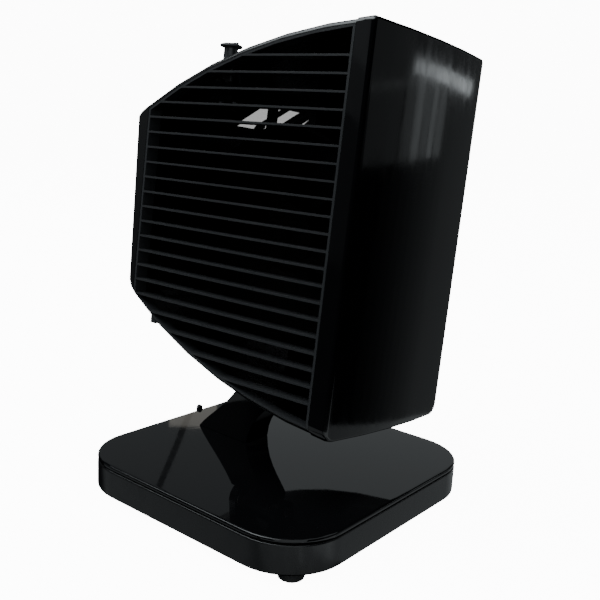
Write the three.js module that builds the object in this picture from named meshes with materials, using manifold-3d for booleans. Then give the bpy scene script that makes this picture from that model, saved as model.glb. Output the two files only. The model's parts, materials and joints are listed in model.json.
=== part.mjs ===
// Desk air circulator: a tall box-shaped fan head with slatted sides, on a tilting neck and a square base.
// Millimetres, +Z up. The base stands on z = 0, centred on the origin.
// The head has its own frame: S along the smooth end face's normal, D across (the way the air blows), U up.
import * as THREE from 'three';
import { mergeVertices } from 'three/addons/utils/BufferGeometryUtils.js';
import Module from 'manifold-3d';

// ---------------------------------------------------------------- driving dimensions

const GAP = 0.3; // between pieces that touch
const RUNNING = 0.1; // radial, between the shaft and its bearings
const HEAD_TILT = 5.5; // degrees, at rest the top leans back

// base
const BASE_SIDE = 250;
const BASE_CORNER = 50;
const FOOT_HEIGHT = 7;
const FOOT_RADIUS = 10.5;
const FOOT_INSET = 23;
const TUB_HEIGHT = 23.7;
const TUB_WALL = 3;
const TUB_FLOOR = 3;
const COVER_THICKNESS = 4;
const COVER_EDGE = 1.5;
const POST_RADIUS = 6;
const BALLAST_MARGIN = 12;
const BALLAST_THICKNESS = 6;
const FOOT_SCREW_RADIUS = 1.7;
const FOOT_SCREW_GRIP = 12;
const GLAND_Y = 24;
const GLAND_RADIUS = 4;
const GLAND_FLANGE = 3;
const GLAND_TONGUE_WIDTH = 6;
const GLAND_TONGUE_RISE = 4; // above the base cover

// neck and tilt hinge
const NECK_FOOT_REAR = -93;
const NECK_FOOT_FRONT = -33;
const NECK_FOOT_WIDTH = 29;
const NECK_FOOT_Y = 6.5;
const NECK_SCREW_RADIUS = 2;
const NECK_SCREW_GRIP = 14;
const HINGE_HEIGHT = 59.4; // above the base cover
const HINGE_Y = 3.8;
const KNUCKLE_REAR = -40;
const KNUCKLE_FRONT = -4;
const KNUCKLE_RADIUS = 12;
const LUG_RADIUS = 13;
const LUG_THICKNESS = 8;
const WASHER_THICKNESS = 1.5;
const HINGE_BOLT_RADIUS = 4;
const HINGE_HEAD_RADIUS = 7;
const HINGE_HEAD_HEIGHT = 4.5;

// head: outline seen from the side, and widths
const HINGE_DROP = 91; // the hinge is this far below the head's own origin
const HEAD_REAR = -123;
const HEAD_FRONT = 104;
const TOP_AT_REAR = 126.8;
const TOP_AT_FRONT = 200;
const TOP_RADIUS = 480;
const BOTTOM_AT_REAR = -22.4;
const BOTTOM_AT_FRONT = -99.5;
const BOTTOM_RADIUS = 455;
const HALF_WIDTH_REAR = 87;
const HALF_WIDTH_FRONT = 79.5;
const TOP_EDGE_RADIUS = 4;
const BOTTOM_EDGE_RADIUS = 10;
const REAR_SIDE_RADIUS = 3;
const REAR_EDGE_RADIUS = 12;
const REAR_RAKE = 7;
const FACE_CROWN = 6;
const FACE_SIDE_RADIUS = 2.5;
const FACE_TOP_RADIUS = 3;
const FACE_BOTTOM_RADIUS = 3;
const SHELL_STEP = 0.8; // the cover stands this proud of the shells
const SHELL_WALL = 2.6;
const FRONT_SEAM = 89;
const REAR_SEAM = -109;
const SHELL_SPLIT = 52;

// grilles
const RIM = 3.6;
const GRILLE_FRAME = 1.8;
const GRILLE_END_FRAME = 2;
const SLAT_PITCH = 12.35;
const SLAT_THICKNESS = 1.6;
const SLAT_DEPTH = 12;
const SLAT_DATUM = -73.9; // height of the lowest slat
const LATCH_AT = -84;
const LATCH_LENGTH = 6;
const LATCH_REACH = 1.6;
const LATCH_NEAR = 3;
const LATCH_FAR = 8;

// pair of openings over the rear top edge, on the side that the motor is on
const VENT_REAR = -114;
const VENT_FRONT = -76;
const VENT_LOW = 116;
const VENT_NEAR = 20;
const VENT_WIDTH = 28;
const VENT_BAR = 6;
const VENT_COUNT = 2;

// fan
const FAN_S = -4;
const FAN_U = 38;
const DUCT_WALL = 3;
const DUCT_NEAR = -26;
const DUCT_FAR = 24;
const DUCT_ARM_AT = [-60, 55];
const DUCT_ARM_THICKNESS = 4;
const DUCT_ARM_NEAR = 8;
const DUCT_ARM_FAR = 18;
const BAFFLE_REAR = -8;
const BAFFLE_FRONT = 80;
const BAFFLE_THICKNESS = 3;
const TIP_RADIUS = 85;
const TIP_CLEARANCE = 3.5;
const HUB_RADIUS = 29;
const HUB_NEAR = -20;
const HUB_FAR = 15;
const HUB_WALL = 3;
const BLADE_COUNT = 5;
const BLADE_SPAN = 76; // degrees round the hub
const BLADE_SWEEP = 24;
const BLADE_RISE_ROOT = 33;
const BLADE_RISE_TIP = 25;
const BLADE_THICKNESS = 2.2;
const BLADE_AXIAL = -3;
const SHAFT_RADIUS = 4;
const SHAFT_NEAR = -14;
const HUB_NUT_RADIUS = 8;
const HUB_NUT_HEIGHT = 5;

// motor and its bracket
const BRACKET_PLATE = 3.5;
const BRACKET_ARM_WIDTH = 12;
const BRACKET_ARM_DEPTH = 7;
const BRACKET_SCREW_RADIUS = 1.6;
const BRACKET_SCREW_GRIP = 9;
const BRACKET_BOSS_RADIUS = 5;
const BRACKET_BOSS_OUT = 2; // boss centres, outside the middle of the duct's wall
const MOTOR_RADIUS = 34;
const MOTOR_WALL = 2.5;
const FRONT_CAN_DEPTH = 14;
const REAR_CAN_DEPTH = 18;
const STATOR_LENGTH = 18;
const STATOR_BORE = 18;
const STATOR_TEETH = 8;
const ROTOR_CLEARANCE = 0.6;
const ROTOR_END_GAP = 0.8;
const BEARING_RADIUS = 9;
const BEARING_LENGTH = 6;

// speed switch and knob
const KNOB_S = -40.5;
const KNOB_D = -66;
const KNOB_TOP = 186;
const KNOB_CAP_RADIUS = 9;
const KNOB_CAP_HEIGHT = 3.6;
const KNOB_STEM_RADIUS = 5.6;
const KNOB_CLEARANCE = 0.6;
const BOSS_RADIUS = 10;
const SWITCH_SIZE_S = 22;
const SWITCH_HEIGHT = 14;
const SWITCH_NEAR_WALL = 5.8;
const SWITCH_FAR_WALL = 12;
const SWITCH_DROP = 31; // top of the switch below the top of the knob
const SPINDLE_RADIUS = 3;
const SWITCH_SCREW_RADIUS = 1.2;
const SWITCH_SCREW_AT = 7.5;

// ---------------------------------------------------------------- sizes that follow from them

const radians = THREE.MathUtils.degToRad;
const lerp = THREE.MathUtils.lerp;
const TUB_TOP = FOOT_HEIGHT + TUB_HEIGHT;
const COVER_BOTTOM = TUB_TOP + GAP;
const BASE_TOP = COVER_BOTTOM + COVER_THICKNESS;
const HINGE_Z = BASE_TOP + HINGE_HEIGHT;
const FOOT_AT = BASE_SIDE / 2 - FOOT_INSET;
const LUG_GAP = WASHER_THICKNESS + 2 * GAP;
const WINDOW_FRONT = FRONT_SEAM - GAP / 2;
const WINDOW_REAR = REAR_SEAM + GAP / 2;
const INNER_SKIN = SHELL_STEP + SHELL_WALL;
const DUCT_RADIUS = TIP_RADIUS + TIP_CLEARANCE;
const BRACKET_NEAR = DUCT_FAR + GAP;
const PLATE_FAR = BRACKET_NEAR + BRACKET_PLATE;
const MOTOR_NEAR = PLATE_FAR + GAP;
const MOTOR_SEAM = MOTOR_NEAR + FRONT_CAN_DEPTH;
const MOTOR_FAR = MOTOR_SEAM + GAP + REAR_CAN_DEPTH;
const FRONT_POCKET_END = MOTOR_NEAR + MOTOR_WALL + BEARING_LENGTH;
const BEARING_FAR_AT = MOTOR_FAR - MOTOR_WALL - BEARING_LENGTH;
const STATOR_RADIUS = MOTOR_RADIUS - MOTOR_WALL - GAP;
const STATOR_MIDDLE = (MOTOR_NEAR + MOTOR_FAR) / 2;
const BRACKET_SCREW_AT = DUCT_RADIUS + DUCT_WALL / 2 + BRACKET_BOSS_OUT;
const SWITCH_TOP = KNOB_TOP - SWITCH_DROP;

const BEYOND = 400; // far outside the part, for cutting solids

// ---------------------------------------------------------------- solid modelling

const wasm = await Module();
wasm.setup();

function signedVolume(geometry) {
  const points = geometry.attributes.position;
  const corners = geometry.index;
  const [a, b, c] = [new THREE.Vector3(), new THREE.Vector3(), new THREE.Vector3()];
  let sum = 0;
  for (let i = 0; i < corners.count; i += 3) {
    a.fromBufferAttribute(points, corners.getX(i));
    b.fromBufferAttribute(points, corners.getX(i + 1));
    c.fromBufferAttribute(points, corners.getX(i + 2));
    sum += a.dot(b.cross(c));
  }
  return sum / 6;
}

function flipFaces(geometry) {
  const index = geometry.index.array;
  for (let i = 0; i < index.length; i += 3) {
    [index[i + 1], index[i + 2]] = [index[i + 2], index[i + 1]];
  }
}

// a manifold solid from a closed three.js geometry, with its faces turned outwards
function solid(geometry) {
  const plain = geometry.clone();
  plain.deleteAttribute('normal');
  plain.deleteAttribute('uv');
  const merged = mergeVertices(plain, 1e-4);
  if (signedVolume(merged) < 0) flipFaces(merged);
  return new wasm.Manifold(new wasm.Mesh({
    numProp: 3,
    vertProperties: new Float32Array(merged.attributes.position.array),
    triVerts: new Uint32Array(merged.index.array),
  }));
}

function join(parts) {
  return parts.reduce((whole, part) => whole.add(part));
}

function box(low, high) {
  const size = high.map((value, i) => value - low[i]);
  const geometry = new THREE.BoxGeometry(...size);
  geometry.translate(...high.map((value, i) => (value + low[i]) / 2));
  return solid(geometry);
}

// a round bar along an axis; across gives its place on the two other axes, in x, y, z order
function bar(axis, from, to, across, radius, sides = 20, endRadius = radius) {
  const geometry = new THREE.CylinderGeometry(endRadius, radius, to - from, sides);
  geometry.translate(0, (from + to) / 2, 0);
  if (axis === 'x') {
    geometry.rotateZ(-Math.PI / 2);
    geometry.translate(0, across[0], across[1]);
  } else if (axis === 'y') {
    geometry.translate(across[0], 0, across[1]);
  } else {
    geometry.rotateX(Math.PI / 2);
    geometry.translate(across[0], across[1], 0);
  }
  return solid(geometry);
}

// a solid of revolution about an axis along z through (x, y); the profile is [radius, height] pairs
function turned(profile, x, y, sides = 20) {
  const geometry = new THREE.LatheGeometry(profile.map((p) => new THREE.Vector2(...p)), sides);
  geometry.rotateX(Math.PI / 2);
  geometry.translate(x, y, 0);
  return solid(geometry);
}

// a shape drawn in x and z, extruded along y
function sidePlate(shape, from, to, bevel = 0, curveSegments = 8) {
  const geometry = new THREE.ExtrudeGeometry(shape, {
    depth: to - from - 2 * bevel,
    bevelEnabled: bevel > 0,
    bevelThickness: bevel,
    bevelSize: bevel,
    bevelOffset: -bevel,
    bevelSegments: 2,
    curveSegments,
  });
  geometry.rotateX(Math.PI / 2);
  geometry.translate(0, to - bevel, 0);
  return geometry;
}

function roundedSquare(side, corner) {
  const h = side / 2;
  const c = h - corner;
  const shape = new THREE.Shape();
  shape.moveTo(h, -c);
  shape.absarc(c, c, corner, 0, Math.PI / 2);
  shape.absarc(-c, c, corner, Math.PI / 2, Math.PI);
  shape.absarc(-c, -c, corner, Math.PI, Math.PI * 1.5);
  shape.absarc(c, -c, corner, Math.PI * 1.5, Math.PI * 2);
  return shape;
}

function slab(side, corner, from, to, bevel = 0) {
  const geometry = new THREE.ExtrudeGeometry(roundedSquare(side, corner), {
    depth: to - from - 2 * bevel,
    bevelEnabled: bevel > 0,
    bevelThickness: bevel,
    bevelSize: bevel,
    bevelOffset: -bevel,
    bevelSegments: 2,
    curveSegments: 5,
  });
  geometry.translate(0, 0, from + bevel);
  return solid(geometry);
}

function warp(geometry, move) {
  const points = geometry.attributes.position;
  const point = new THREE.Vector3();
  for (let i = 0; i < points.count; i += 1) {
    point.fromBufferAttribute(points, i);
    move(point);
    points.setXYZ(i, point.x, point.y, point.z);
  }
  return geometry;
}

// ---------------------------------------------------------------- the head's outer form

// one long arc of the outline, from the rear edge to the front edge; side is 1 for the top, -1 below
function outlineArc(rear, front, radius, side) {
  const chord = new THREE.Vector2(HEAD_FRONT - HEAD_REAR, front - rear);
  const reach = Math.sqrt(radius ** 2 - chord.lengthSq() / 4);
  const outward = new THREE.Vector2(-chord.y, chord.x).normalize().multiplyScalar(side);
  const centreS = (HEAD_FRONT + HEAD_REAR) / 2 - outward.x * reach;
  const centreU = (front + rear) / 2 - outward.y * reach;
  return (s, skin) => centreU + side * Math.sqrt((radius - skin) ** 2 - (s - centreS) ** 2);
}

const topAt = outlineArc(TOP_AT_REAR, TOP_AT_FRONT, TOP_RADIUS, 1);
const bottomAt = outlineArc(BOTTOM_AT_REAR, BOTTOM_AT_FRONT, BOTTOM_RADIUS, -1);

function halfWidthAt(s) {
  const t = (s - HEAD_REAR) / (HEAD_FRONT - HEAD_REAR);
  return HALF_WIDTH_FRONT + (HALF_WIDTH_REAR - HALF_WIDTH_FRONT) * (1 - t * t);
}

// the smooth end face is crowned: it stands further out in the middle than at its two upright edges
function crownAt(s, d) {
  const share = THREE.MathUtils.clamp((s - FRONT_SEAM) / (HEAD_FRONT - FRONT_SEAM), 0, 1);
  return FACE_CROWN * share * (1 - (d / HALF_WIDTH_FRONT) ** 2);
}

// outward normals round half a ring: a rounded corner, a flat run, and the other corner
function ringNormals(cornerSteps, flatSteps) {
  const normals = [];
  for (let i = 0; i <= cornerSteps; i += 1) {
    const turn = (i / cornerSteps) * (Math.PI / 2);
    normals.push({ side: Math.cos(turn), up: Math.sin(turn), corner: 1 });
  }
  for (let i = 1; i < flatSteps; i += 1) {
    normals.push({ side: 0, up: 1, corner: 1 - (2 * i) / flatSteps });
  }
  for (let i = cornerSteps; i >= 0; i -= 1) {
    const turn = (i / cornerSteps) * (Math.PI / 2);
    normals.push({ side: -Math.cos(turn), up: Math.sin(turn), corner: -1 });
  }
  return normals;
}

// stations along the head; sink is how far the ring has turned into the edge rounding, 0 to 1
function stations(rearSteps, bodySteps, frontSteps) {
  const list = [];
  for (let i = rearSteps; i > 0; i -= 1) {
    list.push({ end: -1, turn: (i / rearSteps) * (Math.PI / 2) });
  }
  for (let i = 0; i <= bodySteps; i += 1) {
    list.push({ end: 0, along: i / bodySteps, turn: 0 });
  }
  for (let i = 1; i <= frontSteps; i += 1) {
    list.push({ end: 1, turn: (i / frontSteps) * (Math.PI / 2) });
  }
  return list;
}

// the head's form, sunk by skin below its outer surface
function headForm(skin) {
  const normals = ringNormals(3, 4);
  const rows = stations(2, 6, 2);
  const points = [];
  const edge = (radius) => Math.max(radius - skin, 0.6);

  function place(station, normal, side) {
    const corner = Math.max((side > 0 ? TOP_EDGE_RADIUS : BOTTOM_EDGE_RADIUS) - skin, 1);
    const upRadius = side > 0 ? FACE_TOP_RADIUS : FACE_BOTTOM_RADIUS;
    const sideShare = Math.abs(normal.side) ** 2;
    const faceRadius = edge(lerp(upRadius, FACE_SIDE_RADIUS, sideShare));
    const rearRadius = edge(lerp(REAR_EDGE_RADIUS, REAR_SIDE_RADIUS, sideShare));
    const radius = station.end < 0 ? rearRadius : faceRadius;
    const inset = radius * (1 - Math.cos(station.turn));
    const rearEnd = HEAD_REAR + skin + rearRadius;
    const frontEnd = HEAD_FRONT - skin - faceRadius;
    let s = station.end < 0 ? rearEnd : frontEnd;
    if (station.end === 0) s = lerp(rearEnd, frontEnd, station.along);
    else s += station.end * radius * Math.sin(station.turn);
    const half = halfWidthAt(s) - skin;
    const d = normal.corner * (half - corner) + normal.side * (corner - inset);
    const height = side > 0 ? topAt(s, skin + inset) : bottomAt(s, skin + inset);
    const u = height - side * (corner - inset) * (1 - normal.up);
    const middle = (TOP_AT_REAR + BOTTOM_AT_REAR) / 2;
    const rake = THREE.MathUtils.clamp((middle - u) / (TOP_AT_REAR - middle), -1, 1);
    const rearShare = THREE.MathUtils.clamp((REAR_SEAM - s) / (REAR_SEAM - HEAD_REAR), 0, 1);
    s += crownAt(s, d) + rearShare * (REAR_RAKE / 2) * (1 + rake);
    points.push(s, d, u);
  }

  for (const station of rows) {
    for (const normal of normals) place(station, normal, 1);
    for (const normal of normals) place(station, normal, -1);
  }
  const half = normals.length;
  const ring = 2 * half;
  const index = [];
  const quad = (a, b, c, d) => index.push(a, b, c, a, c, d);
  const order = [];
  for (let k = 0; k < half; k += 1) order.push(k);
  for (let k = half - 1; k >= 0; k -= 1) order.push(half + k);
  for (let i = 0; i + 1 < rows.length; i += 1) {
    for (let k = 0; k < ring; k += 1) {
      const here = i * ring + order[k];
      const next = i * ring + order[(k + 1) % ring];
      quad(here, next, next + ring, here + ring);
    }
  }
  const last = (rows.length - 1) * ring;
  for (let k = 0; k + 1 < half; k += 1) {
    quad(last + k, last + k + 1, last + half + k + 1, last + half + k);
    quad(k + 1, k, half + k, half + k + 1);
  }
  const geometry = new THREE.BufferGeometry();
  geometry.setAttribute('position', new THREE.Float32BufferAttribute(points, 3));
  geometry.setIndex(index);
  return solid(geometry);
}

function slice(form, low, high) {
  return form.intersect(box(low, high));
}

// a prism with the head's side outline, sunk by margin above and below, right through the head
function sideWindow(rear, front, margin) {
  const steps = 6;
  const shape = new THREE.Shape();
  for (let i = 0; i <= steps; i += 1) {
    const s = lerp(rear, front, i / steps);
    if (i === 0) shape.moveTo(s, bottomAt(s, margin));
    else shape.lineTo(s, bottomAt(s, margin));
  }
  for (let i = steps; i >= 0; i -= 1) {
    const s = lerp(rear, front, i / steps);
    shape.lineTo(s, topAt(s, margin));
  }
  return solid(sidePlate(shape, -HALF_WIDTH_REAR * 1.5, HALF_WIDTH_REAR * 1.5));
}

// a prism with the head's plan outline, sunk by depth on both sides, right through the head from top to bottom
function planCore(depth) {
  const steps = 3;
  const shape = new THREE.Shape();
  const rear = REAR_SEAM - 4;
  const front = FRONT_SEAM + 4;
  for (let i = 0; i <= steps; i += 1) {
    const s = lerp(rear, front, i / steps);
    if (i === 0) shape.moveTo(s, depth - halfWidthAt(s));
    else shape.lineTo(s, depth - halfWidthAt(s));
  }
  for (let i = steps; i >= 0; i -= 1) {
    const s = lerp(rear, front, i / steps);
    shape.lineTo(s, halfWidthAt(s) - depth);
  }
  const geometry = new THREE.ExtrudeGeometry(shape, { depth: 2 * BEYOND, bevelEnabled: false });
  geometry.translate(0, 0, -BEYOND);
  return solid(geometry);
}

const coverForm = headForm(0);
const shellForm = headForm(SHELL_STEP);
const innerForm = headForm(INNER_SKIN);
const seatForm = headForm(INNER_SKIN + GAP);

// ---------------------------------------------------------------- base

const BLACK_GLOSS = { color: 0x0b0b0d, roughness: 0.12, metalness: 0 };
const BLACK_SATIN = { color: 0x111214, roughness: 0.42, metalness: 0 };
const BLACK_PLAIN = { color: 0x0d0d0e, roughness: 0.6, metalness: 0 };
const RUBBER = { color: 0x141414, roughness: 0.9, metalness: 0 };
const STEEL = { color: 0x9a9c9f, roughness: 0.35, metalness: 1 };
const ZINC = { color: 0x84878c, roughness: 0.45, metalness: 1 };
const BRONZE = { color: 0x7d5a36, roughness: 0.5, metalness: 1 };
const COPPER_STEEL = { color: 0x6e5142, roughness: 0.5, metalness: 0.8 };
const NYLON = { color: 0xd9d4c4, roughness: 0.55, metalness: 0 };

function piece(name, form, look) {
  const mesh = form.getMesh();
  const geometry = new THREE.BufferGeometry();
  geometry.setAttribute('position', new THREE.BufferAttribute(new Float32Array(mesh.vertProperties), 3));
  geometry.setIndex(new THREE.BufferAttribute(new Uint32Array(mesh.triVerts), 1));
  geometry.computeVertexNormals();
  const made = new THREE.Mesh(geometry, new THREE.MeshStandardMaterial(look));
  made.name = name;
  return made;
}

const CORNERS = [[1, -1], [1, 1], [-1, 1], [-1, -1]];
const NECK_SCREW_PLACES = [
  [NECK_FOOT_REAR + 14, NECK_FOOT_Y],
  [(NECK_FOOT_REAR + NECK_FOOT_FRONT) / 2, NECK_FOOT_Y],
  [NECK_FOOT_FRONT - 12, NECK_FOOT_Y],
];

// flat glossy top, with a post over each foot for its screw
function baseCover() {
  const postBottom = FOOT_HEIGHT + TUB_FLOOR + GAP;
  const plate = slab(BASE_SIDE, BASE_CORNER, COVER_BOTTOM, BASE_TOP, COVER_EDGE);
  const posts = CORNERS.map(([x, y]) => bar(
    'z', postBottom, COVER_BOTTOM + 1, [x * FOOT_AT, y * FOOT_AT], POST_RADIUS, 8,
  ));
  const pilots = CORNERS.map(([x, y]) => bar(
    'z', postBottom - 1, postBottom + FOOT_SCREW_GRIP + 1, [x * FOOT_AT, y * FOOT_AT],
    FOOT_SCREW_RADIUS + GAP, 8,
  ));
  const neckHoles = NECK_SCREW_PLACES.map((place) => bar(
    'z', COVER_BOTTOM - 1, BASE_TOP + 1, place, NECK_SCREW_RADIUS + GAP, 8,
  ));
  return join([plate, ...posts]).subtract(join([...pilots, ...neckHoles]));
}

function baseBody() {
  const tub = slab(BASE_SIDE, BASE_CORNER, FOOT_HEIGHT, TUB_TOP, COVER_EDGE);
  const hollow = slab(
    BASE_SIDE - 2 * TUB_WALL, BASE_CORNER - TUB_WALL, FOOT_HEIGHT + TUB_FLOOR, TUB_TOP + 1,
  );
  const holes = CORNERS.map(([x, y]) => bar(
    'z', 0, FOOT_HEIGHT + TUB_FLOOR + 1, [x * FOOT_AT, y * FOOT_AT], FOOT_SCREW_RADIUS + GAP, 8,
  ));
  const glandHole = bar(
    'x', -BASE_SIDE / 2 - 1, -BASE_SIDE / 2 + TUB_WALL + 1, [GLAND_Y, glandHeight()],
    GLAND_RADIUS + GAP, 14,
  );
  return tub.subtract(hollow).subtract(join([...holes, glandHole]));
}

function glandHeight() {
  return TUB_TOP - GLAND_RADIUS - 4;
}

// steel plate on the tub's floor, cut away round the posts
function ballastPlate() {
  const side = BASE_SIDE - 2 * TUB_WALL - 2 * BALLAST_MARGIN;
  const low = FOOT_HEIGHT + TUB_FLOOR + GAP;
  const plate = slab(side, BASE_CORNER - BALLAST_MARGIN, low, low + BALLAST_THICKNESS);
  const reliefs = CORNERS.map(([x, y]) => bar(
    'z', low - 1, low + BALLAST_THICKNESS + 1, [x * FOOT_AT, y * FOOT_AT], POST_RADIUS + 1, 10,
  ));
  return plate.subtract(join(reliefs));
}

function foot([x, y]) {
  const top = FOOT_HEIGHT - GAP;
  const pad = turned(
    [[0, 0], [FOOT_RADIUS - 2, 0], [FOOT_RADIUS - 0.6, 1], [FOOT_RADIUS, top], [0, top]],
    x * FOOT_AT, y * FOOT_AT, 14,
  );
  const recess = bar('z', -1, 2.5, [x * FOOT_AT, y * FOOT_AT], 2.6 * FOOT_SCREW_RADIUS, 8);
  const hole = bar('z', 1, top + 1, [x * FOOT_AT, y * FOOT_AT], FOOT_SCREW_RADIUS + GAP, 8);
  return pad.subtract(recess).subtract(hole);
}

// pan-head screw along z; the shank points up from the head
function screwUp(place, headTop, headHeight, headRadius, tip, radius) {
  const [x, y] = place;
  return turned([
    [0, headTop - headHeight], [0.7 * headRadius, headTop - headHeight],
    [headRadius, headTop - 0.4 * headHeight], [headRadius, headTop], [radius, headTop],
    [radius, tip - radius], [0.4 * radius, tip], [0, tip],
  ], x, y, 8);
}

function footScrew([x, y]) {
  const tip = FOOT_HEIGHT + TUB_FLOOR + FOOT_SCREW_GRIP - GAP;
  return screwUp(
    [x * FOOT_AT, y * FOOT_AT], 2.5 - GAP, 1.7, 2.3 * FOOT_SCREW_RADIUS, tip, FOOT_SCREW_RADIUS,
  );
}

function neckScrew(place) {
  const tip = BASE_TOP + NECK_SCREW_GRIP - 2 * GAP;
  return screwUp(place, COVER_BOTTOM - GAP, 3, 2 * NECK_SCREW_RADIUS, tip, NECK_SCREW_RADIUS);
}

// inlet that the supply cord would come in by; its tongue stands up behind the cover's edge
function cordGland() {
  const wall = -BASE_SIDE / 2;
  const across = [GLAND_Y, glandHeight()];
  const flange = bar(
    'x', wall - GLAND_FLANGE, wall - GAP, across, GLAND_RADIUS + 2, 14, GLAND_RADIUS + 3,
  );
  const domeHeight = BASE_TOP + GLAND_TONGUE_RISE - GLAND_TONGUE_WIDTH / 2;
  const tongue = box(
    [wall - GLAND_FLANGE, GLAND_Y - GLAND_TONGUE_WIDTH / 2, glandHeight()],
    [wall - GAP, GLAND_Y + GLAND_TONGUE_WIDTH / 2, domeHeight],
  );
  const dome = bar(
    'x', wall - GLAND_FLANGE, wall - GAP, [GLAND_Y, domeHeight], GLAND_TONGUE_WIDTH / 2, 12,
  );
  const barrel = bar('x', wall - 1, wall + TUB_WALL + 2, across, GLAND_RADIUS, 14);
  const bore = bar('x', wall - 4, wall + TUB_WALL + 3, across, GLAND_RADIUS - 1.6, 10);
  return join([flange, tongue, dome, barrel]).subtract(bore);
}

// ---------------------------------------------------------------- neck and hinge

const lugRelief = LUG_RADIUS + 1.5;

// slanting fin that ends in the hinge knuckle, stepped in under the head's rear lug
function neck() {
  const low = BASE_TOP + GAP;
  const ledge = HINGE_Z - lugRelief;
  const shape = new THREE.Shape();
  shape.moveTo(NECK_FOOT_REAR, low);
  shape.bezierCurveTo(
    NECK_FOOT_REAR + 10, low + 13, KNUCKLE_REAR - 24, ledge - 20, KNUCKLE_REAR - 9, ledge,
  );
  shape.lineTo(KNUCKLE_REAR, ledge);
  shape.lineTo(KNUCKLE_REAR, HINGE_Z);
  shape.lineTo(KNUCKLE_FRONT, HINGE_Z);
  shape.lineTo(KNUCKLE_FRONT, ledge);
  shape.bezierCurveTo(
    KNUCKLE_FRONT - 13, ledge - 14, NECK_FOOT_FRONT + 3, low + 22, NECK_FOOT_FRONT, low,
  );
  const blade = sidePlate(shape, -0.5, 0.5, 0.06, 6);
  warp(blade, (p) => {
    const rise = THREE.MathUtils.clamp((p.z - low) / (HINGE_Z - low), 0, 1);
    const centre = lerp(NECK_FOOT_Y, HINGE_Y, rise);
    p.y = centre + p.y * lerp(NECK_FOOT_WIDTH, 2 * KNUCKLE_RADIUS - 2, rise);
  });
  const across = [HINGE_Y, HINGE_Z];
  const knuckle = bar('x', KNUCKLE_REAR, KNUCKLE_FRONT, across, KNUCKLE_RADIUS, 28);
  const bore = bar('x', KNUCKLE_REAR - 1, KNUCKLE_FRONT + 1, across, HINGE_BOLT_RADIUS + GAP, 12);
  const pilots = NECK_SCREW_PLACES.map((place) => bar(
    'z', low - 1, low + NECK_SCREW_GRIP, place, NECK_SCREW_RADIUS + GAP, 8,
  ));
  return solid(blade).add(knuckle).subtract(join([bore, ...pilots]));
}

// the hinge axis in the head's frame
const HINGE_ACROSS = [0, -HINGE_DROP];

function frictionWasher(from) {
  const washer = bar('x', from, from + WASHER_THICKNESS, HINGE_ACROSS, KNUCKLE_RADIUS - 1, 16);
  return washer.subtract(bar(
    'x', from - 1, from + WASHER_THICKNESS + 1, HINGE_ACROSS, HINGE_BOLT_RADIUS + GAP, 12,
  ));
}

const REAR_LUG_FROM = KNUCKLE_REAR - LUG_GAP - LUG_THICKNESS;
const FRONT_LUG_FROM = KNUCKLE_FRONT + LUG_GAP;

function hingeBolt() {
  const headAt = REAR_LUG_FROM - GAP;
  const tip = FRONT_LUG_FROM + LUG_THICKNESS + GAP + HINGE_HEAD_HEIGHT + 1.5;
  const head = bar('x', headAt - HINGE_HEAD_HEIGHT, headAt, HINGE_ACROSS, HINGE_HEAD_RADIUS, 6);
  return head.add(bar('x', headAt - 1, tip, HINGE_ACROSS, HINGE_BOLT_RADIUS, 12));
}

function hingeNut() {
  const from = FRONT_LUG_FROM + LUG_THICKNESS + GAP;
  const nut = bar('x', from, from + HINGE_HEAD_HEIGHT, HINGE_ACROSS, HINGE_HEAD_RADIUS, 6);
  return nut.subtract(bar(
    'x', from - 1, from + HINGE_HEAD_HEIGHT + 1, HINGE_ACROSS, HINGE_BOLT_RADIUS + GAP, 12,
  ));
}

// ---------------------------------------------------------------- head shells

function wallForm(form) {
  return form.subtract(innerForm);
}

// end cover with the smooth crowned face; its sides reach back to the grilles
function frontCover() {
  return slice(
    wallForm(coverForm), [FRONT_SEAM + GAP / 2, -BEYOND, -BEYOND], [BEYOND, BEYOND, BEYOND],
  );
}

// openings with a bar between them, over the seam at the rear top edge
function rearVents() {
  const vents = [];
  for (let i = 0; i < VENT_COUNT; i += 1) {
    const near = VENT_NEAR + i * (VENT_WIDTH + VENT_BAR);
    const far = Math.min(near + VENT_WIDTH, HALF_WIDTH_FRONT - VENT_BAR);
    vents.push(box([VENT_REAR, near, VENT_LOW], [VENT_FRONT, far, BEYOND]));
  }
  return join(vents);
}

function rearCover() {
  const cap = slice(
    wallForm(shellForm), [-BEYOND, -BEYOND, -BEYOND], [REAR_SEAM - GAP / 2, BEYOND, BEYOND],
  );
  return cap.subtract(rearVents());
}

const middleWall = slice(
  wallForm(shellForm), [WINDOW_REAR, -BEYOND, -BEYOND], [WINDOW_FRONT, BEYOND, BEYOND],
).subtract(sideWindow(WINDOW_REAR - 1, WINDOW_FRONT + 1, SHELL_STEP + RIM));

// lip under the edge of the next cover, fused to the inside of this shell
function lip(seam, away, side) {
  const reach = 5;
  const hold = 4;
  const across = HALF_WIDTH_FRONT - SLAT_DEPTH - 14;
  const band = (form, from, to) => slice(
    form, [Math.min(from, to), -across, side > 0 ? SHELL_SPLIT : -BEYOND],
    [Math.max(from, to), across, side > 0 ? BEYOND : SHELL_SPLIT],
  );
  const root = headForm(INNER_SKIN - 0.4).subtract(headForm(INNER_SKIN + 2));
  const tongue = seatForm.subtract(headForm(INNER_SKIN + 2));
  return band(root, seam - away * (hold + 1), seam - away).add(
    band(tongue, seam - away * 1.5, seam + away * reach),
  );
}

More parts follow.
